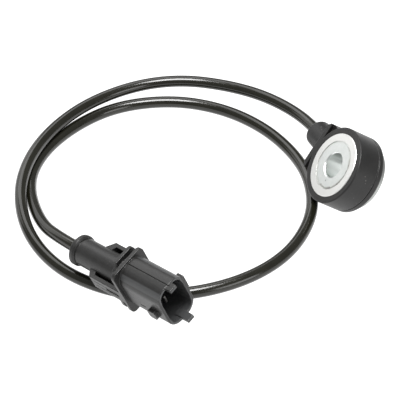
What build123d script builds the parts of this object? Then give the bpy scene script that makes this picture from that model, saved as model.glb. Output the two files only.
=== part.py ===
from build123d import *
from math import cos, pi, radians, sin, tan
import os

# Engine knock sensor: a ring-shaped sensing head for one M8 screw, a moulded
# cable exit, a loop of round cable and a two-pin connector with a clip collar.
# Millimetres, +Z up, z = 0 is the surface that the sensor lies on. The origin is
# on that surface, below the middle of the sensing head. The connector's mating
# axis runs along +X, seen from above.

# How the head leans: it stands on the back rims of its housing and ring nut
head_heading = -121.2      # compass way that the front face looks, seen from above
head_tilt = 36.87          # how far the front face looks up
exit_dip = 11.0            # turn of the cable exit about the bore
head_x = 2.69              # middle of the front face from the footprint's middle
head_y = -4.85

# Moulded housing of the head
housing_radius = 13.15
housing_depth = 10.95
rim_round = 0.45
back_round = 1.2           # on the housing's back edge
seam_depth = 8.35          # parting groove, measured back from the front face
seam_width = 0.35
seam_cut = 0.25
pad_inner = 12.5           # end plate on the cable side, from the bore axis
pad_thickness = 1.9
pad_half_width = 8.7
pad_shift = -0.4           # of the plate's middle, across the exit
pad_corner = 1.3
pad_recess = 1.3           # the web behind the plate starts this far back
stub_radius = 4.65
stub_length = 10.8
stub_round = 1.3
stub_depth = 6.3           # cable centre line, back from the front face
stub_shift = -1.05         # cable centre line, to one side of the bore axis

# Steel mounting sleeve with its front flange
bore_radius = 4.2
bore_chamfer = 0.35
flange_radius = 11.0
flange_thickness = 2.0
flange_proud = 0.1
face_groove_radius = 8.3
face_groove_width = 0.3
face_groove_cut = 0.35
face_step = 0.12           # the middle of the face is lower than its edge
sleeve_radius = 6.0
sleeve_end_proud = 0.1     # beyond the ring nut
sleeve_chamfer = 0.2

# Sensing stack on the sleeve, in order from the flange
liner_thickness = 0.3
insulator_thickness = 0.4
insulator_radius = 9.8
contact_thickness = 0.3
contact_radius = 9.2
piezo_thickness = 2.2
piezo_radius = 9.0
mass_thickness = 3.0
mass_radius = 9.8
spring_thickness = 0.6
spring_rise = 0.3
spring_radius = 9.4
nut_radius = 11.2
nut_thickness = 4.0
nut_chamfer = 0.65
bay_gap = 0.4              # between the stack and the housing's wall
tab_reach = 11.5           # contact tabs, from the bore axis
tab_width = 1.4
tab_root = 1.0             # overlap with the contact's ring

# Fits
mould_fit = 0.02           # plastic moulded round an insert
slide_fit = 0.05           # stack rings over the liner, nut on the sleeve
cut_margin = 1.0           # how far a cut runs past an open face

# Cable
cable_radius = 2.0
core_radius = 0.7
core_spacing = 1.8
exit_run = 10.0            # straight out of the head
entry_run = 8.0            # straight into the back of the connector
arc_share = 0.45           # share of the shorter run that an arc takes

# Connector: a runs along the mating axis from the front of the clip collar,
# s to the side and t to the top
connector_x = -6.3
connector_y = -85.75
connector_z = 14.65
connector_pitch = 9.0      # the mouth looks up a little
connector_roll = 18.0
shell_length = 17.4
shell_half_width = 5.7
shell_flat_half = 7.25
shell_half_height = 8.2
shell_wall = 0.9
shell_corner = 2.8
socket_floor = 3.0
plate_thickness = 1.2
front_plate_half = 6.85
front_plate_top = 8.8
front_plate_bottom = 9.8
rear_plate_half = 6.3
rear_plate_top = 7.9
rear_plate_bottom = 10.3
rear_plate_notch = 1.6     # the plate is cut away on the left from here outwards
plate_corner = 1.8
clip_gap = 2.5             # slot that a bracket slides into
neck_share = 0.76          # size of the neck in the slot, of the shell's outline
tongue_width = 2.6
tongue_thickness = 1.2
tongue_reach = 2.85
tongue_inset = 0.1
tongue_root = 3.0
top_groove_width = 0.3
top_groove_cut = 0.25
peg_place = 12.4
peg_drop = -2.0
peg_size = 3.5
peg_corner = 1.0
peg_height = 1.3
mark_place = 7.2           # short slot on the shell's side
mark_length = 2.4
mark_width = 0.4
mark_cut = 0.3
lug_place = 14.1
lug_length = 2.5
lug_low = -1.0
lug_high = 4.2
lug_height = 0.95
body_radius = 4.55
body_front_radius = 4.85
body_drop = 0.6            # of the body's axis, below the shell's
body_length = 22.0         # behind the rear plate
body_taper_end = 6.0       # in front of the bead
bead_radius = 5.15
bead_length = 2.6
bead_neck = 4.2
bead_neck_length = 0.5
bead_front_round = 0.6
bead_back_round = 0.8
wing_reach = 6.85
wing_thickness = 1.3
wing_floor = 1.2           # thin web that closes the pocket beside the body
wing_low = -4.8
wing_high = 1.1
wing_skew = 0.5            # the right wing's top is higher by this, the left one's lower
wing_rear = -15.0
wing_ramp = 2.7
wing_ramp_drop = 3.4       # sideways
wing_ramp_toe = 0.2
wing_groove = 0.25
wing_groove_pitch = 2.0
wing_groove_margin = 1.5
wing_slot_front = -2.6     # recess in the wing's outer face
wing_slot_length = 5.8
wing_slot_height = 0.9
wing_slot_cut = 0.7

# Pins and their carrier
carrier_half_width = 3.0
carrier_half_height = 4.7
carrier_back = -4.5
carrier_corner = 0.8
pin_width = 2.8
pin_thickness = 0.8
pin_spacing = 5.0
pin_tip = 11.5
pin_root = -1.0
pin_chamfer = 0.25
tail_width = 1.4
tail_spacing = 3.0
crimp_front = -5.5
crimp_length = 7.0
crimp_radius = 1.1
crimp_stop = 1.0           # solid front end of the barrel
chamber_half_width = 1.4
chamber_half_height = 2.9
chamber_back = -22.0
chamber_corner = 1.0
core_spread_start = 1.0    # where the cores part, in front of the chamber's back
core_spread_end = 5.0
core_bend_radius = 2.5
core_stop_gap = 0.2

os.makedirs("parts", exist_ok=True)


def direction(heading, rise):
    """Unit vector from a heading and a rise above the level, in degrees."""
    level = cos(radians(rise))
    return Vector(level * cos(radians(heading)), level * sin(radians(heading)), sin(radians(rise)))


def save(builder, name):
    """Label a finished piece and write its file."""
    builder.part.label = name
    export_step(builder.part, f"parts/{name}.step")


# Places in the stack, measured back from the housing's front face
lower_insulator_at = flange_thickness - flange_proud
lower_contact_at = lower_insulator_at + insulator_thickness
piezo_at = lower_contact_at + contact_thickness
upper_contact_at = piezo_at + piezo_thickness
upper_insulator_at = upper_contact_at + contact_thickness
mass_at = upper_insulator_at + insulator_thickness
spring_at = mass_at + mass_thickness
nut_at = spring_at + spring_thickness + spring_rise
nut_end = nut_at + nut_thickness
sleeve_end = nut_end + sleeve_end_proud
liner_radius = sleeve_radius + liner_thickness
ring_inner = liner_radius + slide_fit
bay_radius = max(insulator_radius, mass_radius) + bay_gap

# The head's frame: its front face, the way the cable leaves and the bore axis
face_out = direction(head_heading, head_tilt)
cable_way = direction(head_heading - 90, 0).rotate(Axis((0, 0, 0), face_out), exit_dip)
lean, upright = sin(radians(head_tilt)), cos(radians(head_tilt))
back_edge_depth, back_edge_radius = housing_depth - back_round, housing_radius - back_round
housing_drop = back_edge_depth * lean + back_edge_radius * upright + back_round
nut_drop = (nut_end - nut_chamfer) * lean + nut_radius * upright
face_centre = Vector(head_x, head_y, max(housing_drop, nut_drop))
face = Plane(origin=face_centre, x_dir=cable_way, z_dir=face_out)
section = Plane(origin=face_centre, x_dir=cable_way, z_dir=cable_way.cross(face_out))
bore_axis = Axis(face_centre, face_out)
pad_outer = pad_inner + pad_thickness
stub_end = pad_outer + stub_length


def at_depth(depth):
    """The plane parallel to the front face, this far behind it."""
    return face.offset(-depth)


def exit_plane(reach):
    """The plane across the cable exit, this far from the bore axis."""
    centre = face.from_local_coords((reach, stub_shift, -stub_depth))
    return Plane(origin=centre, x_dir=face.y_dir, z_dir=cable_way)


def ring(depth, thickness, inner, outer):
    """A flat ring of the sensing stack."""
    with BuildPart() as flat_ring:
        with BuildSketch(at_depth(depth + thickness)):
            Circle(outer)
            Circle(inner, mode=Mode.SUBTRACT)
        extrude(amount=thickness)
    return flat_ring


def contact(depth, side):
    """A contact ring whose tab is bent back to the level of the cable's cores."""
    strip_centre = stub_shift + side * core_spacing / 2
    with BuildPart() as plate:
        with BuildSketch(at_depth(depth + contact_thickness)):
            Circle(contact_radius)
            Circle(ring_inner, mode=Mode.SUBTRACT)
            with Locations(((contact_radius - tab_root + tab_reach) / 2, strip_centre)):
                Rectangle(tab_reach - contact_radius + tab_root, tab_width)
        extrude(amount=contact_thickness)
        with BuildSketch(at_depth(stub_depth + core_radius)):
            with Locations((tab_reach - contact_thickness / 2, strip_centre)):
                Rectangle(contact_thickness, tab_width)
        extrude(amount=stub_depth + core_radius - depth)
    return plate


# Moulded housing of the head, with the end plate and the cable exit
with BuildPart() as head_housing:
    with BuildSketch(at_depth(housing_depth)):
        Circle(housing_radius)
    extrude(amount=housing_depth)
    fillet(head_housing.edges().sort_by(bore_axis)[-1], rim_round)
    fillet(head_housing.edges().filter_by(GeomType.CIRCLE).sort_by(bore_axis)[0], back_round)
    with BuildSketch(section):
        with Locations((housing_radius, -seam_depth)):
            Rectangle(2 * seam_cut, seam_width)
    revolve(axis=bore_axis, mode=Mode.SUBTRACT)
    with BuildSketch(at_depth(housing_depth)):
        with Locations((pad_outer / 2, pad_shift)):
            Rectangle(pad_outer, 2 * pad_half_width)
        chamfer([v for v in vertices() if v.X > pad_inner], pad_corner)
    extrude(amount=housing_depth - pad_recess)
    with BuildSketch(at_depth(pad_recess)):
        with Locations(((pad_inner + pad_outer) / 2, pad_shift)):
            Rectangle(pad_thickness, 2 * pad_half_width)
        chamfer([v for v in vertices() if v.X > (pad_inner + pad_outer) / 2], pad_corner)
    extrude(amount=pad_recess)
    with BuildSketch(exit_plane(pad_inner)):
        Circle(stub_radius)
    extrude(amount=stub_end - pad_inner)
    fillet(head_housing.faces().sort_by(Axis(face_centre, cable_way))[-1].edges(), stub_round)
    with BuildSketch(section):
        with BuildLine():
            Polyline(
                (0, cut_margin),
                (flange_radius + mould_fit, cut_margin),
                (flange_radius + mould_fit, -lower_insulator_at),
                (bay_radius, -lower_insulator_at),
                (bay_radius, -nut_at),
                (nut_radius + mould_fit, -nut_at),
                (nut_radius + mould_fit, -housing_depth - cut_margin),
                (0, -housing_depth - cut_margin),
                close=True,
            )
        make_face()
    revolve(axis=bore_axis, mode=Mode.SUBTRACT)
    with BuildSketch(at_depth(stub_depth + core_radius + bay_gap)):
        with Locations((bay_radius, stub_shift)):
            Rectangle(2 * (tab_reach + bay_gap - bay_radius), core_spacing + tab_width + 2 * bay_gap)
    extrude(amount=stub_depth + core_radius + bay_gap - lower_insulator_at, mode=Mode.SUBTRACT)
    with BuildSketch(exit_plane(bay_radius)):
        with Locations((-core_spacing / 2, 0), (core_spacing / 2, 0)):
            Circle(core_radius + mould_fit)
    extrude(amount=stub_end - bay_radius + cut_margin, mode=Mode.SUBTRACT)
save(head_housing, "head_housing")

# Steel sleeve: front flange with its turned groove, tube and through bore
with BuildPart() as mounting_sleeve:
    with BuildSketch(section):
        with BuildLine():
            Polyline(
                (bore_radius, flange_proud - face_step - bore_chamfer),
                (bore_radius + bore_chamfer, flange_proud - face_step),
                (face_groove_radius - face_groove_width, flange_proud - face_step),
                (face_groove_radius - face_groove_width, flange_proud - face_groove_cut),
                (face_groove_radius, flange_proud - face_groove_cut),
                (face_groove_radius, flange_proud),
                (flange_radius - sleeve_chamfer, flange_proud),
                (flange_radius, flange_proud - sleeve_chamfer),
                (flange_radius, -lower_insulator_at),
                (sleeve_radius, -lower_insulator_at),
                (sleeve_radius, -sleeve_end + sleeve_chamfer),
                (sleeve_radius - sleeve_chamfer, -sleeve_end),
                (bore_radius + bore_chamfer, -sleeve_end),
                (bore_radius, -sleeve_end + bore_chamfer),
                close=True,
            )
        make_face()
    revolve(axis=bore_axis)
save(mounting_sleeve, "mounting_sleeve")

# Insulating liner that keeps the stack off the sleeve
liner = ring(lower_insulator_at, nut_at - lower_insulator_at, sleeve_radius + mould_fit, liner_radius)
save(liner, "insulating_liner")

# Rings of the sensing stack
save(ring(lower_insulator_at, insulator_thickness, ring_inner, insulator_radius), "lower_insulator")
save(ring(piezo_at, piezo_thickness, ring_inner, piezo_radius), "piezo_ring")
save(ring(upper_insulator_at, insulator_thickness, ring_inner, insulator_radius), "upper_insulator")
save(ring(mass_at, mass_thickness, ring_inner, mass_radius), "seismic_mass")
save(contact(lower_contact_at, -1), "lower_contact")
save(contact(upper_contact_at, 1), "upper_contact")

# Coned disc spring that keeps the stack loaded
with BuildPart() as disc_spring:
    with BuildSketch(section):
        with BuildLine():
            Polyline(
                (ring_inner, -spring_at - spring_rise),
                (spring_radius, -spring_at),
                (spring_radius, -spring_at - spring_thickness),
                (ring_inner, -nut_at),
                close=True,
            )
        make_face()
    revolve(axis=bore_axis)
save(disc_spring, "disc_spring")

# Ring nut that clamps the stack, with its back face proud of the housing
with BuildPart() as ring_nut:
    with BuildSketch(at_depth(nut_end)):
        Circle(nut_radius)
        Circle(sleeve_radius + slide_fit, mode=Mode.SUBTRACT)
    extrude(amount=nut_thickness)
    nut_back = ring_nut.faces().sort_by(bore_axis)[0]
    chamfer(nut_back.edges(), nut_chamfer)
save(ring_nut, "ring_nut")

# The connector's frame: mating axis, side and top
mating = direction(0, connector_pitch)
side = Vector(0, 1, 0).rotate(Axis((0, 0, 0), mating), connector_roll)
top = mating.cross(side)
collar_centre = Vector(connector_x, connector_y, connector_z)
collar = Plane(origin=collar_centre, x_dir=side, z_dir=mating)
body_centre = collar_centre - top * body_drop
body_frame = Plane(origin=body_centre, x_dir=side, z_dir=mating)
body_axis = Axis(body_centre, mating)
lengthwise = Plane(origin=body_centre, x_dir=mating, z_dir=-side)
rear_plate_at = -plate_thickness - clip_gap
body_front = rear_plate_at - plate_thickness
body_back = body_front - body_length
bead_front = body_back + bead_length


def across(place):
    """The plane across the connector, this far along its mating axis."""
    return collar.offset(place)


def inside(place):
    """The plane across the body's axis, which the pins and the cable share."""
    return body_frame.offset(place)


def flank(way, place, height):
    """A plane on the left (-1) or right (1) flat of the shell; its y axis is the top."""
    centre = collar.from_local_coords((way * shell_half_width, height, place))
    return Plane(origin=centre, x_dir=mating * -way, z_dir=side * way)


def wing_face(place):
    """A plane on the left wing's outer face, half way up it."""
    middle = (wing_low + wing_high - wing_skew) / 2
    centre = collar.from_local_coords((-wing_reach, middle, place))
    return Plane(origin=centre, x_dir=mating, z_dir=-side)


def shell_outline(inset=0.0, share=1.0):
    """The shell's outline: flat sides with bowed ends."""
    half = shell_half_width * share - inset
    flat = shell_flat_half * share - inset / 2
    tall = shell_half_height * share - inset
    with BuildSketch() as outline:
        with BuildLine():
            Line((-half, -flat), (-half, flat))
            ThreePointArc((-half, flat), (0, tall), (half, flat))
            Line((half, flat), (half, -flat))
            ThreePointArc((half, -flat), (0, -tall), (-half, -flat))
        make_face()
        fillet(vertices(), shell_corner * share - inset)
    return outline.sketch


def plate_outline(half, high, low):
    """The outline of a collar plate, which reaches further down than up."""
    with BuildSketch() as outline:
        with Locations((0, (high - low) / 2)):
            RectangleRounded(2 * half, high + low, plate_corner)
    return outline.sketch


def wing_outline(way):
    """One side wing: a bar beside the body, joined to it by a ramp at the back."""
    inner = wing_reach - wing_thickness
    ramp_foot = wing_reach - wing_ramp_drop
    with BuildSketch() as outline:
        with BuildLine():
            Polyline(
                (wing_rear - wing_ramp, 0),
                (wing_rear - wing_ramp, way * ramp_foot),
                (wing_rear, way * wing_reach),
                (-plate_thickness, way * wing_reach),
                (-plate_thickness, way * inner),
                (wing_rear + wing_thickness, way * inner),
                (wing_rear + wing_ramp_toe, way * ramp_foot),
                (wing_rear + wing_ramp_toe, 0),
                close=True,
            )
        make_face()
    return outline.sketch


# Connector housing: mating shell, clip collar, wings, round body and bead
with BuildPart() as connector_housing:
    with BuildSketch(lengthwise):
        with BuildLine():
            Polyline(
                (body_front, 0),
                (body_front, body_front_radius),
                (bead_front + body_taper_end, body_radius),
                (bead_front + bead_neck_length, body_radius),
                (bead_front + bead_neck_length, bead_neck),
                (bead_front, bead_neck),
                (bead_front, bead_radius - bead_front_round),
                (bead_front - bead_front_round, bead_radius),
                (body_back + bead_back_round, bead_radius),
                (body_back, bead_radius - bead_back_round),
                (body_back, 0),
                close=True,
            )
        make_face()
    revolve(axis=body_axis)
    with BuildSketch(across(body_front)):
        add(plate_outline(rear_plate_half, rear_plate_top, rear_plate_bottom))
        with Locations((-rear_plate_half, rear_plate_top)):
            Rectangle(
                rear_plate_half - rear_plate_notch,
                rear_plate_top - wing_low - wing_floor,
                align=(Align.MIN, Align.MAX),
                mode=Mode.SUBTRACT,
            )
    extrude(amount=plate_thickness)
    with BuildSketch(across(body_front)):
        add(shell_outline(share=neck_share))
    extrude(amount=-body_front)
    with BuildSketch(across(-plate_thickness)):
        add(plate_outline(front_plate_half, front_plate_top, front_plate_bottom))
    extrude(amount=plate_thickness)
    wing_plane = Plane(origin=collar_centre + top * wing_low, x_dir=mating, z_dir=top)
    for way in (-1, 1):
        with BuildSketch(wing_plane):
            add(wing_outline(way))
        extrude(amount=wing_high + way * wing_skew - wing_low)
    with BuildSketch(wing_plane):
        with Locations(((wing_rear - plate_thickness) / 2, 0)):
            Rectangle(-plate_thickness - wing_rear, 2 * wing_reach - wing_thickness)
    extrude(amount=wing_floor)
    with BuildSketch(across(0)):
        add(shell_outline())
    extrude(amount=shell_length)
    with BuildSketch(across(socket_floor)):
        add(shell_outline(inset=shell_wall))
    extrude(amount=shell_length, mode=Mode.SUBTRACT)
    for way in (-1, 1):
        with BuildSketch(across(shell_length - tongue_root)):
            with Locations((0, way * (shell_half_height - tongue_inset - tongue_thickness / 2))):
                Rectangle(tongue_width, tongue_thickness)
        extrude(amount=tongue_root + tongue_reach)
    with BuildSketch(across(0)):
        with Locations((0, shell_half_height)):
            Rectangle(top_groove_width, 2 * top_groove_cut)
    extrude(amount=shell_length + tongue_reach / 2, mode=Mode.SUBTRACT)
    with BuildSketch(flank(-1, peg_place, peg_drop).offset(-shell_wall / 2)):
        RectangleRounded(peg_size, peg_size, peg_corner)
    extrude(amount=peg_height + shell_wall / 2)
    with BuildSketch(flank(1, lug_place, (lug_low + lug_high) / 2).offset(-shell_wall / 2)):
        Rectangle(lug_length, lug_high - lug_low)
    extrude(amount=lug_height + shell_wall / 2)
    with BuildSketch(flank(-1, mark_place, peg_drop)):
        Rectangle(mark_length, mark_width)
    extrude(amount=-mark_cut, mode=Mode.SUBTRACT)
    with BuildSketch(wing_face((wing_rear - plate_thickness) / 2)):
        with Locations((0, -wing_groove_pitch / 2), (0, wing_groove_pitch / 2)):
            Rectangle(-plate_thickness - wing_rear - 2 * wing_groove_margin, wing_groove)
    extrude(amount=-wing_groove, mode=Mode.SUBTRACT)
    with BuildSketch(wing_face(wing_slot_front - wing_slot_length / 2)):
        Rectangle(wing_slot_length, wing_slot_height)
    extrude(amount=-wing_slot_cut, mode=Mode.SUBTRACT)
    with BuildSketch(inside(carrier_back)):
        RectangleRounded(2 * carrier_half_width, 2 * carrier_half_height, carrier_corner)
    extrude(amount=socket_floor - carrier_back, mode=Mode.SUBTRACT)
    with BuildSketch(inside(chamber_back)):
        RectangleRounded(2 * chamber_half_width, 2 * chamber_half_height, chamber_corner)
    extrude(amount=carrier_back - chamber_back, mode=Mode.SUBTRACT)
    with BuildSketch(inside(body_back - cut_margin)):
        with Locations((0, -core_spacing / 2), (0, core_spacing / 2)):
            Circle(core_radius + mould_fit)
    extrude(amount=chamber_back - body_back + cut_margin, mode=Mode.SUBTRACT)
save(connector_housing, "connector_housing")

# Pin carrier: the insert that holds both pins at the socket's floor
with BuildPart() as pin_carrier:
    with BuildSketch(inside(carrier_back)):
        half_width, half_height = carrier_half_width - mould_fit, carrier_half_height - mould_fit
        RectangleRounded(2 * half_width, 2 * half_height, carrier_corner)
    extrude(amount=socket_floor - carrier_back)
    with BuildSketch(inside(pin_root)):
        with Locations((0, -pin_spacing / 2), (0, pin_spacing / 2)):
            Rectangle(pin_thickness + 2 * mould_fit, pin_width + 2 * mould_fit)
    extrude(amount=socket_floor - pin_root, mode=Mode.SUBTRACT)
    with BuildSketch(inside(carrier_back)):
        with Locations((0, -tail_spacing / 2), (0, tail_spacing / 2)):
            Rectangle(pin_thickness + 2 * mould_fit, tail_width + 2 * mould_fit)
    extrude(amount=pin_root - carrier_back, mode=Mode.SUBTRACT)
save(pin_carrier, "pin_carrier")


def pin(way):
    """A stamped pin: blade, narrow tail and crimp barrel."""
    with BuildPart() as blade:
        with BuildSketch(inside(pin_root)):
            with Locations((0, way * pin_spacing / 2)):
                Rectangle(pin_thickness, pin_width)
        extrude(amount=pin_tip - pin_root)
        chamfer(blade.faces().sort_by(body_axis)[-1].edges(), pin_chamfer)
        with BuildSketch(inside(crimp_front)):
            with Locations((0, way * tail_spacing / 2)):
                Rectangle(pin_thickness, tail_width)
        extrude(amount=pin_root - crimp_front)
        with BuildSketch(inside(crimp_front - crimp_length)):
            with Locations((0, way * tail_spacing / 2)):
                Circle(crimp_radius)
        extrude(amount=crimp_length)
        with BuildSketch(inside(crimp_front - crimp_length)):
            with Locations((0, way * tail_spacing / 2)):
                Circle(core_radius + mould_fit)
        extrude(amount=crimp_length - crimp_stop, mode=Mode.SUBTRACT)
    return blade


save(pin(-1), "ground_pin")
save(pin(1), "signal_pin")


def straight_core(way):
    """A core of the cable inside the head's exit, as far as its contact tab."""
    with BuildPart() as core:
        with BuildSketch(exit_plane(tab_reach)):
            with Locations((way * core_spacing / 2, 0)):
                Circle(core_radius)
        extrude(amount=stub_end - tab_reach)
    return core


def spread_core(way):
    """A core inside the connector, from the cable's end to its crimp barrel."""
    stops = (
        (0, way * core_spacing / 2, body_back),
        (0, way * core_spacing / 2, chamber_back + core_spread_start),
        (0, way * tail_spacing / 2, chamber_back + core_spread_end),
        (0, way * tail_spacing / 2, crimp_front - crimp_stop - core_stop_gap),
    )
    with BuildPart() as core:
        with BuildLine():
            FilletPolyline(*[body_frame.from_local_coords(stop) for stop in stops], radius=core_bend_radius)
        with BuildSketch(inside(body_back)):
            with Locations((0, way * core_spacing / 2)):
                Circle(core_radius)
        sweep()
    return core


save(straight_core(-1), "ground_core_at_head")
save(straight_core(1), "signal_core_at_head")
save(spread_core(-1), "ground_core_at_connector")
save(spread_core(1), "signal_core_at_connector")

# Cable: once and a half round, from the head's exit to the connector's bead
cable_start = exit_plane(stub_end).origin
cable_end = inside(body_back).origin
route = [
    cable_start,
    cable_start + cable_way * exit_run,
    Vector(-45.6, 17.1, 5.4),
    Vector(-62.2, 14.0, 3.2),
    Vector(-77.8, 5.6, 2.0),
    Vector(-87.6, -8.3, 2.0),
    Vector(-92.3, -27.3, 2.0),
    Vector(-90.7, -46.5, 2.0),
    Vector(-83.8, -63.7, 2.0),
    Vector(-72.0, -77.6, 2.0),
    Vector(-55.1, -88.0, 2.0),
    Vector(-36.4, -91.4, 2.0),
    Vector(-19.0, -86.9, 2.0),
    Vector(-5.5, -77.2, 2.0),
    Vector(4.6, -63.3, 2.0),
    Vector(10.2, -47.1, 2.0),
    Vector(10.3, -30.8, 2.0),
    Vector(3.6, -14.5, 2.0),
    Vector(-8.3, -2.7, 2.0),
    Vector(-21.9, 3.7, 2.0),
    Vector(-39.0, 6.7, 2.0),
    Vector(-56.4, 4.0, 2.0),
    Vector(-72.1, -5.2, 2.1),
    Vector(-83.0, -21.8, 2.6),
    Vector(-84.9, -40.6, 3.6),
    Vector(-81.4, -59.1, 4.1),
    Vector(-72.3, -73.0, 4.2),
    Vector(-53.7, -83.8, 6.2),
    cable_end - mating * entry_run,
    cable_end,
]


def bend_radii(points):
    """The largest tangent arc that each corner's two runs allow."""
    runs = [after - before for before, after in zip(points, points[1:])]
    radii = []
    for before, after in zip(runs, runs[1:]):
        half_turn = radians(before.get_angle(after)) / 2
        radii.append(arc_share * min(before.length, after.length) / tan(half_turn))
    return radii


radii = bend_radii(route)
with BuildPart() as cable_jacket:
    with BuildLine() as centre_line:
        FilletPolyline(*route, radius=radii)
    with BuildSketch(exit_plane(stub_end)):
        Circle(cable_radius)
    sweep()
save(cable_jacket, "cable_jacket")

cable_length = sum(edge.length for edge in centre_line.edges())
print("cable length", round(cable_length, 1))
print("bend radii", [round(radius, 1) for radius in radii])
print("volume over section times length", cable_jacket.part.volume / (pi * cable_radius**2 * cable_length))
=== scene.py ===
import bpy
import bmesh
from math import cos, hypot, inf, radians, sin, sqrt
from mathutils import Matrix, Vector


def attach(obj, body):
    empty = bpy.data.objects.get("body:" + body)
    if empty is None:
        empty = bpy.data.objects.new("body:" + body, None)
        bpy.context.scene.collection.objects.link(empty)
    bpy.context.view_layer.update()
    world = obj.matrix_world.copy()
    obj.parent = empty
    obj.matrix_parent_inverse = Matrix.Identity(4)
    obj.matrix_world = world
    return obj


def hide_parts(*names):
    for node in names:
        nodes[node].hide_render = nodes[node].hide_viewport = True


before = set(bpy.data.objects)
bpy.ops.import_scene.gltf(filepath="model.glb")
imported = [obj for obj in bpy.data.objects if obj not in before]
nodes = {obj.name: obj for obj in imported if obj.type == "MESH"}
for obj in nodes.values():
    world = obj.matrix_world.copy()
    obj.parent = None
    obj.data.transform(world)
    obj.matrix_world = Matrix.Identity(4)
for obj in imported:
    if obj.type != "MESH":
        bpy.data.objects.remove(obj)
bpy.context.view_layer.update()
scene = bpy.context.scene
MM = 0.001

# The head's bore axis, the middle of its front face and the way its cable leaves
FACE_OUT = Vector((-0.41442, -0.68429, 0.6))
FACE_CENTRE = Vector((2.69, -4.85, 16.616)) * MM
CABLE_WAY = Vector((-0.89896, 0.41058, -0.15265))

# The connector's mating axis, its top and the middle of its collar's front
MATING = Vector((0.98769, 0.0, 0.15643))
TOP = Vector((-0.14878, -0.30902, 0.93935))
COLLAR_CENTRE = Vector((-6.3, -85.75, 14.65)) * MM


# Camera: the photograph's place, looking down 42 degrees; lens and sensor in millimetres
VIEW_TARGET = Vector((-0.029323, -0.034507, 0.0))
VIEW_FROM = Vector((0.282647, -0.353077, 0.40148))
LENS, SENSOR_WIDTH = 161.5, 36.0
CLIP_START, CLIP_END = 0.01, 10.0
camera_data = bpy.data.cameras.new("camera")
camera_data.lens = LENS
camera_data.sensor_width = SENSOR_WIDTH
camera_data.clip_start = CLIP_START
camera_data.clip_end = CLIP_END
camera = bpy.data.objects.new("camera", camera_data)
camera.location = VIEW_FROM
camera.rotation_mode = "QUATERNION"
camera.rotation_quaternion = (VIEW_TARGET - VIEW_FROM).to_track_quat("-Z", "Y")
scene.collection.objects.link(camera)
scene.camera = camera


# Cable, in millimetres: the CAD route, its first turn raised to lie on the second at the left
EXIT_REACH, EXIT_DEPTH, EXIT_SHIFT, EXIT_RUN = 25.2, 6.3, -1.05, 10.0
ENTRY_BACK, ENTRY_DROP, ENTRY_RUN = 26.9, 0.6, 8.0
CABLE_RADIUS = 2.05
CURVE_ORDER, STEPS_ALONG, STEPS_ROUND = 3, 12, 8
cable_start = FACE_CENTRE / MM + CABLE_WAY * EXIT_REACH - FACE_OUT * EXIT_DEPTH
cable_start += FACE_OUT.cross(CABLE_WAY) * EXIT_SHIFT
cable_end = COLLAR_CENTRE / MM - MATING * ENTRY_BACK - TOP * ENTRY_DROP
ROUTE = [
    cable_start,
    cable_start + CABLE_WAY * EXIT_RUN,
    (-44.3, 15.7, 6.7),
    (-59.4, 11.0, 6.3),
    (-74.1, 2.0, 5.95),
    (-83.8, -11.8, 5.85),
    (-88.5, -30.6, 5.85),
    (-86.7, -49.7, 6.0),
    (-79.7, -66.8, 6.15),
    (-68.7, -80.0, 5.5),
    (-53.5, -89.1, 3.8),
    (-36.1, -91.5, 2.3),
    (-18.9, -87.0, 2.05),
    (-5.3, -77.5, 2.05),
    (4.9, -63.5, 2.05),
    (10.5, -47.2, 2.05),
    (10.3, -30.9, 2.05),
    (3.5, -14.5, 2.05),
    (-8.5, -2.7, 2.05),
    (-21.9, 3.7, 2.05),
    (-38.8, 6.5, 2.05),
    (-56.2, 3.8, 2.05),
    (-71.9, -5.3, 2.05),
    (-83.4, -21.4, 2.05),
    (-86.2, -39.5, 2.05),
    (-83.2, -57.6, 2.05),
    (-74.2, -71.5, 2.1),
    (-55.0, -82.8, 4.7),
    cable_end - MATING * ENTRY_RUN,
    cable_end,
]


def cable_curve(name, points, radius):
    """A smooth round cable that the route's control points guide, in millimetres."""
    data = bpy.data.curves.new(name, "CURVE")
    data.dimensions = "3D"
    data.resolution_u = STEPS_ALONG
    # A bevel of 1 makes each point's radius the cable's own
    data.bevel_depth = 1.0
    data.bevel_resolution = STEPS_ROUND
    data.use_fill_caps = True
    spline = data.splines.new("NURBS")
    spline.points.add(len(points) - 1)
    for point, place in zip(spline.points, points):
        point.co = (*(Vector(place) * MM), 1.0)
        point.radius = radius * MM
    spline.order_u = CURVE_ORDER
    spline.use_endpoint_u = True
    obj = bpy.data.objects.new(name, data)
    scene.collection.objects.link(obj)
    return obj


# Connector's shell, in millimetres: flat sides and bowed ends, with rounder
# corners than the CAD model's, a lug further forward and a shorter top tongue
SHELL_HALF, SHELL_FLAT, SHELL_TALL = 5.7, 7.25, 8.2
BOW_RADIUS = (SHELL_HALF**2 + (SHELL_TALL - SHELL_FLAT) ** 2) / (2 * (SHELL_TALL - SHELL_FLAT))
BOW_CENTRE = SHELL_TALL - BOW_RADIUS
CAD_CORNER, SHOWN_CORNER = 2.8, 4.5
SHELL_LENGTH = 17.4
LUG_BACK, LUG_FRONT, LUG_SHIFT = 12.85, 15.35, 1.1
TONGUE_TRIM = 0.5
SIDE = TOP.cross(MATING)

# Which points are on the shell, its side and its lug: margins in millimetres
COLLAR_MARGIN, SHELL_MARGIN = -0.02, 0.05
AXIS_MARGIN = 1.0
SIDE_MARGIN = 0.01
LUG_MARGIN = 0.05

# Shares of the way from the axis to the outline: how near counts as on it, and
# where the pull on the corners begins and how fast it grows
OUTLINE_MARGIN = 0.01
PULL_START, PULL_GROWTH = 0.7, 0.1

# Planes through the axis that cut the corners into strips, in degrees from the
# sides; the angle of an edge that stays sharp; the mesh's tolerances, in metres
STRIP_ANGLES = range(30, 82, 3)
SHARP_ANGLE = 32
WELD_DISTANCE, CUT_DISTANCE = 1e-6, 1e-7

# Directions nearer the top than this never reach the flat side
SMALLEST = 1e-9


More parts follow.
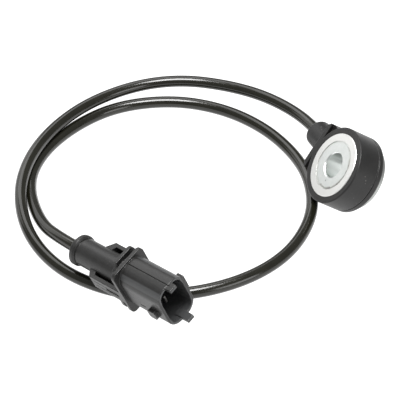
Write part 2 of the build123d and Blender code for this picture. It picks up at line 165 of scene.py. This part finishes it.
def outline_reach(across, up, corner):
    """Distance from the shell's axis to its outline, towards (across, up)."""
    x, y = (abs(value) / hypot(across, up) for value in (across, up))
    centre_x = SHELL_HALF - corner
    centre_y = BOW_CENTRE + sqrt((BOW_RADIUS - corner) ** 2 - centre_x**2)
    side = SHELL_HALF / x if x > SMALLEST else inf
    if side * y <= centre_y:
        return side
    bow = y * BOW_CENTRE + sqrt((y * BOW_CENTRE) ** 2 - BOW_CENTRE**2 + BOW_RADIUS**2)
    if bow * x <= centre_x * BOW_RADIUS / (BOW_RADIUS - corner):
        return bow
    along = x * centre_x + y * centre_y
    return along + sqrt(along**2 - centre_x**2 - centre_y**2 + corner**2)


def on_shell(point):
    """A point's places ahead of the collar, across and up, in millimetres."""
    offset = (point - COLLAR_CENTRE) / MM
    return offset.dot(MATING), offset.dot(SIDE), offset.dot(TOP)


def is_of_shell(face):
    """Whether a face reaches forward from the collar's front."""
    ahead = [on_shell(vertex.co)[0] for vertex in face.verts]
    return min(ahead) > COLLAR_MARGIN and max(ahead) > SHELL_MARGIN


def cut_strips(shape):
    """Cuts the shell's corners into narrow strips, so that they can take a new curve."""
    for degrees in STRIP_ANGLES:
        angle = radians(degrees)
        for way in (-1, 1):
            faces = [face for face in shape.faces if is_of_shell(face)]
            edges = {edge for face in faces for edge in face.edges}
            corners = {vertex for face in faces for vertex in face.verts}
            bmesh.ops.bisect_plane(
                shape,
                geom=[*faces, *edges, *corners],
                dist=CUT_DISTANCE,
                plane_co=COLLAR_CENTRE,
                plane_no=SIDE * sin(angle) * way - TOP * cos(angle),
            )


def reshape(shape):
    """Draws the shell's corners in, moves its lug forward and shortens its top tongue."""
    for vertex in shape.verts:
        ahead, across, up = on_shell(vertex.co)
        if ahead < COLLAR_MARGIN or hypot(across, up) < AXIS_MARGIN:
            continue
        outline = outline_reach(across, up, CAD_CORNER)
        ratio = hypot(across, up) / outline
        if ahead < SHELL_MARGIN and abs(ratio - 1) > OUTLINE_MARGIN:
            continue
        share = min(max((ratio - PULL_START) / PULL_GROWTH, 0.0), 1.0)
        pull = share * (outline_reach(across, up, SHOWN_CORNER) / outline - 1)
        vertex.co += (SIDE * across + TOP * up) * pull * MM
        at_side = across > SHELL_HALF - SIDE_MARGIN
        if at_side and LUG_BACK - LUG_MARGIN < ahead < LUG_FRONT + LUG_MARGIN:
            vertex.co += MATING * LUG_SHIFT * MM
        if ahead > SHELL_LENGTH + TONGUE_TRIM and up > 0:
            vertex.co -= MATING * TONGUE_TRIM * MM


def rounder_connector(name, source):
    """A copy of the connector's moulding with its shell reshaped."""
    data = bpy.data.meshes.new(name)
    shape = bmesh.new()
    shape.from_mesh(source.data)
    bmesh.ops.remove_doubles(shape, verts=shape.verts, dist=WELD_DISTANCE)
    cut_strips(shape)
    reshape(shape)
    for face in shape.faces:
        face.smooth = True
    for edge in shape.edges:
        between_two = len(edge.link_faces) == 2
        edge.smooth = between_two and edge.calc_face_angle(0.0) < radians(SHARP_ANGLE)
    shape.to_mesh(data)
    shape.free()
    obj = bpy.data.objects.new(name, data)
    scene.collection.objects.link(obj)
    return obj


connector = rounder_connector("connector_moulding", nodes["connector_housing"])
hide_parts("connector_housing")
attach(connector, "root")

cable = cable_curve("cable", ROUTE, CABLE_RADIUS)
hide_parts("cable_jacket")
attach(cable, "root")


class Tree:
    """A material's nodes, with short ways to add and join them."""

    def __init__(self, name):
        self.material = bpy.data.materials.new(name)
        self.material.use_nodes = True
        self.tree = self.material.node_tree
        self.shader = self.tree.nodes["Principled BSDF"]

    def add(self, kind, settings=None, **inputs):
        node = self.tree.nodes.new(kind)
        for key, value in (settings or {}).items():
            setattr(node, key, value)
        for key, value in inputs.items():
            self.feed(node.inputs[key.replace("_", " ")], value)
        return node

    def feed(self, socket, value):
        if isinstance(value, bpy.types.NodeSocket):
            self.tree.links.new(value, socket)
        else:
            socket.default_value = value

    def set(self, **inputs):
        for key, value in inputs.items():
            self.feed(self.shader.inputs[key.replace("_", " ")], value)

    def fed_to(self, name):
        """What a socket of the shader is joined to."""
        return self.shader.inputs[name].links[0].from_socket

    def place(self):
        return self.add("ShaderNodeTexCoord").outputs["Object"]

    def noise(self, vector, scale, detail=3.0, roughness=0.5):
        node = self.add(
            "ShaderNodeTexNoise", Vector=vector, Scale=scale, Detail=detail, Roughness=roughness
        )
        return node.outputs["Fac"]

    def spread(self, value, low, high, start=0.3, end=0.7):
        """Maps a value from start..end to low..high."""
        node = self.add("ShaderNodeMapRange", Value=value)
        ends = {"From Min": start, "From Max": end, "To Min": low, "To Max": high}
        for key, number in ends.items():
            node.inputs[key].default_value = number
        return node.outputs["Result"]

    def math(self, operation, a, b=0.5):
        node = self.add("ShaderNodeMath", {"operation": operation})
        self.feed(node.inputs[0], a)
        self.feed(node.inputs[1], b)
        return node.outputs["Value"]

    def vector(self, operation, a, b, output="Vector"):
        node = self.add("ShaderNodeVectorMath", {"operation": operation})
        self.feed(node.inputs[0], a)
        self.feed(node.inputs[1], b)
        return node.outputs[output]

    def mix(self, factor, first, second):
        """Mixes two colours, by the mix node's sockets for colour."""
        node = self.add("ShaderNodeMix", {"data_type": "RGBA"})
        self.feed(node.inputs[0], factor)
        self.feed(node.inputs[6], first)
        self.feed(node.inputs[7], second)
        return node.outputs[2]

    def bump(self, height, strength, distance, normal=None):
        node = self.add("ShaderNodeBump", Height=height, Strength=strength, Distance=distance)
        if normal is not None:
            self.feed(node.inputs["Normal"], normal)
        return node.outputs["Normal"]

    def rounded(self, radius):
        return self.add("ShaderNodeBevel", {"samples": 6}, Radius=radius).outputs["Normal"]

    def edge(self, rounded):
        """1 on a sharp edge, 0 on a flat."""
        true_normal = self.add("ShaderNodeNewGeometry").outputs["True Normal"]
        along = self.vector("DOT_PRODUCT", rounded, true_normal, "Value")
        return self.spread(along, 1.0, 0.0, start=0.75, end=0.995)

    def from_axis(self, centre, axis):
        """Distance from an axis, in metres."""
        offset = self.vector("SUBTRACT", self.place(), tuple(centre))
        across = self.vector("CROSS_PRODUCT", offset, tuple(axis))
        return self.vector("LENGTH", across, (0, 0, 0), "Value")


def grey(level, warmth=0.0):
    return (level * (1 + warmth), level, level * (1 - warmth), 1.0)


def darker(colour, share):
    return (*(part * share for part in colour[:3]), 1.0)


# Moulded plastic: its tint, the radius of its edges in metres, and its dust
PLASTIC_WARMTH = 0.02
PLASTIC_EDGE = 0.0003
DUST_GREY = grey(0.3, 0.05)


def moulded(name, dark, light, rough, dust=0.0):
    """Moulded plastic: fine grain, faint flow marks, edges lightened as a painted highlight and
    made glossier, and specks of dust.
    """
    t = Tree(name)
    place = t.place()
    flow = t.noise(place, 260, detail=4.0, roughness=0.55)
    grain = t.noise(place, 5200, detail=2.0, roughness=0.6)
    patches = t.noise(place, 330, detail=2.0, roughness=0.5)
    grains = t.add("ShaderNodeTexVoronoi", Vector=place, Scale=750.0).outputs["Distance"]
    rounded = t.rounded(PLASTIC_EDGE)
    edge = t.edge(rounded)

    low, high = grey(dark, PLASTIC_WARMTH), grey(light, PLASTIC_WARMTH)
    body = t.mix(t.spread(flow, 0.0, 1.0), low, high)
    speck = t.spread(grain, 0.0, 0.35, start=0.56, end=0.72)
    body = t.mix(speck, body, grey(light * 1.5, PLASTIC_WARMTH))
    # Sharp edges are lightened in colour: a painted highlight. Further down they also get a
    # lower roughness.
    colour = t.mix(t.math("MULTIPLY", edge, 0.55), body, grey(light * 4, PLASTIC_WARMTH))
    settled = t.spread(patches, 0.0, dust, start=0.54, end=0.62)
    dusty = t.math("MULTIPLY", t.spread(grains, 1.0, 0.0, start=0.06, end=0.14), settled)
    t.set(Base_Color=t.mix(dusty, colour, DUST_GREY), IOR=1.5, Specular_IOR_Level=0.4)

    worn = t.math("MULTIPLY", edge, -0.12)
    t.set(Roughness=t.math("ADD", t.spread(grain, rough - 0.05, rough + 0.07), worn))
    marks = t.bump(flow, strength=0.1, distance=0.0002, normal=rounded)
    t.set(Normal=t.bump(grain, strength=0.22, distance=0.00006, normal=marks))
    return t


# The connector's socket: where its painted light, a lighter grey standing in for light inside
# it, fades in, in metres across and up from the shell's axis and ahead of the collar
SOCKET_SIDE = (0.0049, 0.0051)
SOCKET_TOP = (0.0074, 0.0076)
SOCKET_BACK = (0.0, 0.001)
SOCKET_PAINTED_LIGHT = grey(0.045, -0.02)


def painted_socket_light(t):
    """The connector's socket, painted a lighter grey: painted light inside it."""
    offset = t.vector("SUBTRACT", t.place(), tuple(COLLAR_CENTRE))
    ahead = t.vector("DOT_PRODUCT", offset, tuple(MATING), "Value")
    across = t.vector("DOT_PRODUCT", offset, tuple(SIDE), "Value")
    up = t.vector("DOT_PRODUCT", offset, tuple(TOP), "Value")
    beside = t.spread(t.math("ABSOLUTE", across), 1.0, 0.0, *SOCKET_SIDE)
    under = t.spread(t.math("ABSOLUTE", up), 1.0, 0.0, *SOCKET_TOP)
    within = t.math("MULTIPLY", beside, under)
    within = t.math("MULTIPLY", within, t.spread(ahead, 0.0, 1.0, *SOCKET_BACK))
    # Painted light: the inside of the socket is lifted to a lighter grey.
    t.set(Base_Color=t.mix(within, t.fed_to("Base Color"), SOCKET_PAINTED_LIGHT))
    return t


# Cable sheath: near black with a warm tint, and its dust
SHEATH_DARK = (0.0055, 0.0053, 0.0030, 1.0)
SHEATH_LIGHT = (0.0085, 0.0082, 0.0048, 1.0)
SHEATH_DUST = grey(0.03, 0.05)


def sheath(name):
    """Extruded cable sheath: glossy, with faint draw lines and slow waviness."""
    t = Tree(name)
    place = t.place()
    slow = t.noise(place, 120, detail=2.0, roughness=0.5)
    dust = t.noise(place, 2600, detail=3.0, roughness=0.6)
    around = t.add("ShaderNodeTexCoord").outputs["UV"]
    drawn = t.vector("MULTIPLY", around, (2.0, 60.0, 1.0))
    lines = t.noise(drawn, 1.0, detail=2.0, roughness=0.5)

    body = t.mix(t.spread(slow, 0.0, 1.0), SHEATH_DARK, SHEATH_LIGHT)
    colour = t.mix(t.spread(dust, 0.0, 0.4, start=0.6, end=0.8), body, SHEATH_DUST)
    t.set(Base_Color=colour, IOR=1.52)
    t.set(Roughness=t.math("ADD", t.spread(slow, 0.12, 0.16), t.spread(dust, 0.0, 0.04)))
    waves = t.bump(slow, strength=0.08, distance=0.0005)
    t.set(Normal=t.bump(lines, strength=0.03, distance=0.00005, normal=waves))
    return t.material


TURNED_EDGE = 0.00012


def turned_steel(name, bright, dull, rough):
    """Plated steel turned on a lathe: fine rings round the bore's axis and a light haze."""
    t = Tree(name)
    place = t.place()
    radius = t.add("ShaderNodeCombineXYZ", X=t.from_axis(FACE_CENTRE, FACE_OUT)).outputs[0]
    rings = t.noise(radius, 9000, detail=2.0, roughness=0.7)
    haze = t.noise(place, 420, detail=4.0, roughness=0.6)
    spots = t.noise(place, 2400, detail=2.0, roughness=0.5)

    body = t.mix(t.spread(haze, 0.0, 1.0), dull, bright)
    spotted = t.spread(spots, 0.0, 0.3, start=0.6, end=0.75)
    t.set(Base_Color=t.mix(spotted, body, darker(dull, 0.8)), Metallic=1.0)
    turned = t.spread(rings, rough - 0.04, rough + 0.06)
    t.set(Roughness=t.math("ADD", turned, t.spread(haze, 0.0, 0.06)))
    edges = t.rounded(TURNED_EDGE)
    t.set(Normal=t.bump(rings, strength=0.12, distance=0.00002, normal=edges))
    return t


# The steel face: the places where its looks change, in metres from its axis
BORE_EDGE = (0.00425, 0.0044)
CLEAN_EDGE = (0.0080, 0.0084)
GROOVE_RADIUS, GROOVE_REACH = 0.0080, 0.0006
GROOVE_WAVER = 0.0014

# The way across the face in which the groove's painted shade grows, and between which
# places along it, in metres from the middle
SHADE_WAY = (0.742, -0.635, -0.214)
SHADE_ENDS = (-0.005, 0.007)

# A small dark nick, in millimetres from the face's middle, and its blurred radius in metres
NICK = (0.31, -3.83, -4.17)
NICK_EDGE = (0.00012, 0.0003)

# Its colours, and the roughness in the bore
FACE_BRIGHT, FACE_DULL = (0.78, 0.80, 0.785, 1.0), (0.70, 0.73, 0.71, 1.0)
CLEAN_STEEL = (0.82, 0.82, 0.80, 1.0)
BORE_STEEL = (0.74, 0.765, 0.75, 1.0)
GROOVE_SHADE_AND_DIRT = (0.22, 0.21, 0.185, 1.0)
NICK_DARK = (0.12, 0.12, 0.12, 1.0)
BORE_ROUGHNESS = (0.29, 0.29, 0.29, 1.0)


def contact_steel(name):
    """The sleeve: a clean outer annulus, a bright bore and a torn edge at the groove, darkened
    by painted shade and patchy dirt.
    """
    t = turned_steel(name, FACE_BRIGHT, FACE_DULL, 0.34)
    place = t.place()
    disc, rough, relief = (t.fed_to(key) for key in ("Base Color", "Roughness", "Normal"))
    true_radius = t.from_axis(FACE_CENTRE, FACE_OUT)
    torn = t.noise(place, 420, detail=3.0, roughness=0.6)
    waver = t.math("MULTIPLY", t.math("SUBTRACT", torn, 0.5), GROOVE_WAVER)
    radius = t.math("ADD", true_radius, waver)

    outer = t.spread(radius, 0.0, 1.0, *CLEAN_EDGE)
    colour = t.mix(outer, disc, CLEAN_STEEL)
    inside = t.spread(true_radius, 1.0, 0.0, *BORE_EDGE)
    colour = t.mix(inside, colour, BORE_STEEL)

    # The groove is darkened by painted shade, strongest towards the lower right, and by patchy
    # dirt.
    from_middle = t.vector("SUBTRACT", place, tuple(FACE_CENTRE))
    lower = t.vector("DOT_PRODUCT", from_middle, SHADE_WAY, "Value")
    depth = t.spread(lower, 0.2, 1.0, *SHADE_ENDS)
    from_groove = t.math("ABSOLUTE", t.math("SUBTRACT", radius, GROOVE_RADIUS))
    groove = t.spread(from_groove, 1.0, 0.0, start=0.0, end=GROOVE_REACH)
    patches = t.noise(place, 210, detail=3.0, roughness=0.6)
    patchy = t.spread(patches, 0.5, 1.0, start=0.4, end=0.6)
    shade_and_dirt = t.math("MULTIPLY", t.math("MULTIPLY", groove, patchy), depth)
    colour = t.mix(shade_and_dirt, colour, GROOVE_SHADE_AND_DIRT)

    nick = t.vector("DISTANCE", place, tuple(FACE_CENTRE + Vector(NICK) * MM), "Value")
    in_nick = t.spread(nick, 0.8, 0.0, *NICK_EDGE)
    t.set(Base_Color=t.mix(in_nick, colour, NICK_DARK))
    clean = t.mix(inside, rough, BORE_ROUGHNESS)
    t.set(Roughness=t.math("ADD", clean, t.math("MULTIPLY", shade_and_dirt, 0.3)))
    t.set(Normal=t.bump(shade_and_dirt, strength=0.6, distance=-0.00012, normal=relief))
    return t.material


STAMPED_EDGE = 0.0001


def stamped(name, bright, dull, rough, scale=900):
    """Stamped or drawn bare metal: streaks, small stains and rounded edges."""
    t = Tree(name)
    place = t.place()
    drawn = t.vector("MULTIPLY", place, (1.0, 1.0, 8.0))
    streak = t.noise(drawn, scale, detail=3.0, roughness=0.6)
    stain = t.noise(place, 300, detail=4.0, roughness=0.6)

    t.set(Base_Color=t.mix(t.spread(stain, 0.0, 1.0), bright, dull), Metallic=1.0)
    t.set(Roughness=t.spread(streak, rough - 0.06, rough + 0.08))
    edges = t.rounded(STAMPED_EDGE)
    t.set(Normal=t.bump(streak, strength=0.1, distance=0.00002, normal=edges))
    return t.material


def baked(name, first, second, rough, scale):
    """Ceramic or film: cloudy colour with fine speckle."""
    t = Tree(name)
    place = t.place()
    cloud = t.noise(place, 350, detail=4.0, roughness=0.6)
    speckle = t.noise(place, scale, detail=2.0, roughness=0.6)

    body = t.mix(t.spread(cloud, 0.0, 1.0), first, second)
    speckled = t.spread(speckle, 0.0, 0.4, start=0.58, end=0.75)
    t.set(Base_Color=t.mix(speckled, body, darker(first, 0.6)))
    t.set(Roughness=t.spread(speckle, rough - 0.05, rough + 0.08))
    t.set(Normal=t.bump(speckle, strength=0.15, distance=0.00003))
    return t.material


def paint(material, *names):
    """Gives CAD nodes a finished material."""
    for name in names:
        mesh = nodes[name].data
        mesh.materials.clear()
        mesh.materials.append(material)


# Bright and dull colour of each metal, first and second colour of the ceramic and the film
NUT = (0.42, 0.43, 0.42, 1.0), (0.34, 0.35, 0.34, 1.0)
MASS = (0.5, 0.5, 0.5, 1.0), (0.38, 0.38, 0.39, 1.0)
SPRING = (0.3, 0.31, 0.34, 1.0), (0.2, 0.21, 0.25, 1.0)
BRASS = (0.8, 0.62, 0.3, 1.0), (0.62, 0.46, 0.22, 1.0)
TIN = (0.36, 0.355, 0.34, 1.0), (0.27, 0.265, 0.255, 1.0)
COPPER = (0.85, 0.45, 0.28, 1.0), (0.62, 0.3, 0.18, 1.0)
CERAMIC = (0.6, 0.53, 0.4, 1.0), (0.5, 0.44, 0.34, 1.0)
FILM = (0.62, 0.38, 0.1, 1.0), (0.5, 0.28, 0.07, 1.0)

cable.data.materials.append(sheath("sheath_gloss"))
plastic = painted_socket_light(moulded("connector_moulding", 0.010, 0.015, 0.38, dust=0.12))
connector.data.materials.append(plastic.material)
paint(moulded("housing_moulding", 0.006, 0.010, 0.42, dust=0.5).material, "head_housing")
# The carrier's lighter grey is painted light: it lifts the deep floor of the socket.
paint(moulded("carrier_moulding", 0.10, 0.13, 0.5).material, "pin_carrier")
paint(contact_steel("contact_steel"), "mounting_sleeve")
paint(turned_steel("nut_steel", *NUT, 0.34).material, "ring_nut")
paint(turned_steel("mass_steel", *MASS, 0.4).material, "seismic_mass")
paint(stamped("spring_steel", *SPRING, 0.3), "disc_spring")
paint(stamped("contact_brass", *BRASS, 0.3), "lower_contact", "upper_contact")
paint(stamped("pin_tin", *TIN, 0.36), "ground_pin", "signal_pin")
paint(
    stamped("core_copper", *COPPER, 0.35, 3000),
    "ground_core_at_head",
    "signal_core_at_head",
    "ground_core_at_connector",
    "signal_core_at_connector",
)
paint(baked("ceramic", *CERAMIC, 0.6, 3000), "piezo_ring")
paint(
    baked("film", *FILM, 0.3, 4000),
    "insulating_liner",
    "lower_insulator",
    "upper_insulator",
)


# Floor: it glows a little, and lies just under the part, in metres
FLOOR_HALF = 3.0
FLOOR_DROP = 0.00002
FLOOR_GLOW = 1.18
WHITE = (1.0, 1.0, 1.0, 1.0)
floor_mesh = bpy.data.meshes.new("floor")
corners = [(x * FLOOR_HALF, y * FLOOR_HALF, 0) for x, y in ((-1, -1), (1, -1), (1, 1), (-1, 1))]
floor_mesh.from_pydata(corners, [], [(0, 1, 2, 3)])
floor = bpy.data.objects.new("floor", floor_mesh)
floor.location.z = -FLOOR_DROP
scene.collection.objects.link(floor)
pale = Tree("pale_floor")
pale.set(Base_Color=(0.15, 0.15, 0.15, 1.0), Roughness=0.9)
pale.set(Emission_Color=WHITE, Emission_Strength=FLOOR_GLOW)
floor_mesh.materials.append(pale.material)


def softbox(name, place, target, size, power):
    """A rectangular area light that faces its target, in metres and watts."""
    data = bpy.data.lights.new(name, "AREA")
    data.shape = "RECTANGLE"
    data.size, data.size_y = size
    data.energy = power
    obj = bpy.data.objects.new(name, data)
    obj.location = place
    obj.rotation_mode = "QUATERNION"
    obj.rotation_quaternion = (Vector(target) - Vector(place)).to_track_quat("-Z", "Y")
    scene.collection.objects.link(obj)


# Studio light and surroundings
MIDDLE = (-0.03, -0.034, 0.0)
AT_CONNECTOR = (0.0, -0.085, 0.015)
WORLD_LIGHT = 0.33
softbox("overhead", (0.025, -0.09, 0.62), MIDDLE, (0.3, 0.3), 6.2)
softbox("left_card", (-0.72, -0.05, 0.26), MIDDLE, (0.6, 0.36), 0.8)
softbox("far_card", (-0.5, 0.16, 0.6), MIDDLE, (0.5, 0.5), 2.0)
softbox("front_card", (0.6, -0.05, 0.22), AT_CONNECTOR, (0.3, 0.3), 1.0)

world = bpy.data.worlds.new("studio")
scene.world = world
world.use_nodes = True
background = world.node_tree.nodes["Background"]
background.inputs["Color"].default_value = WHITE
background.inputs["Strength"].default_value = WORLD_LIGHT
scene.view_settings.view_transform = "Standard"

bpy.context.view_layer.update()
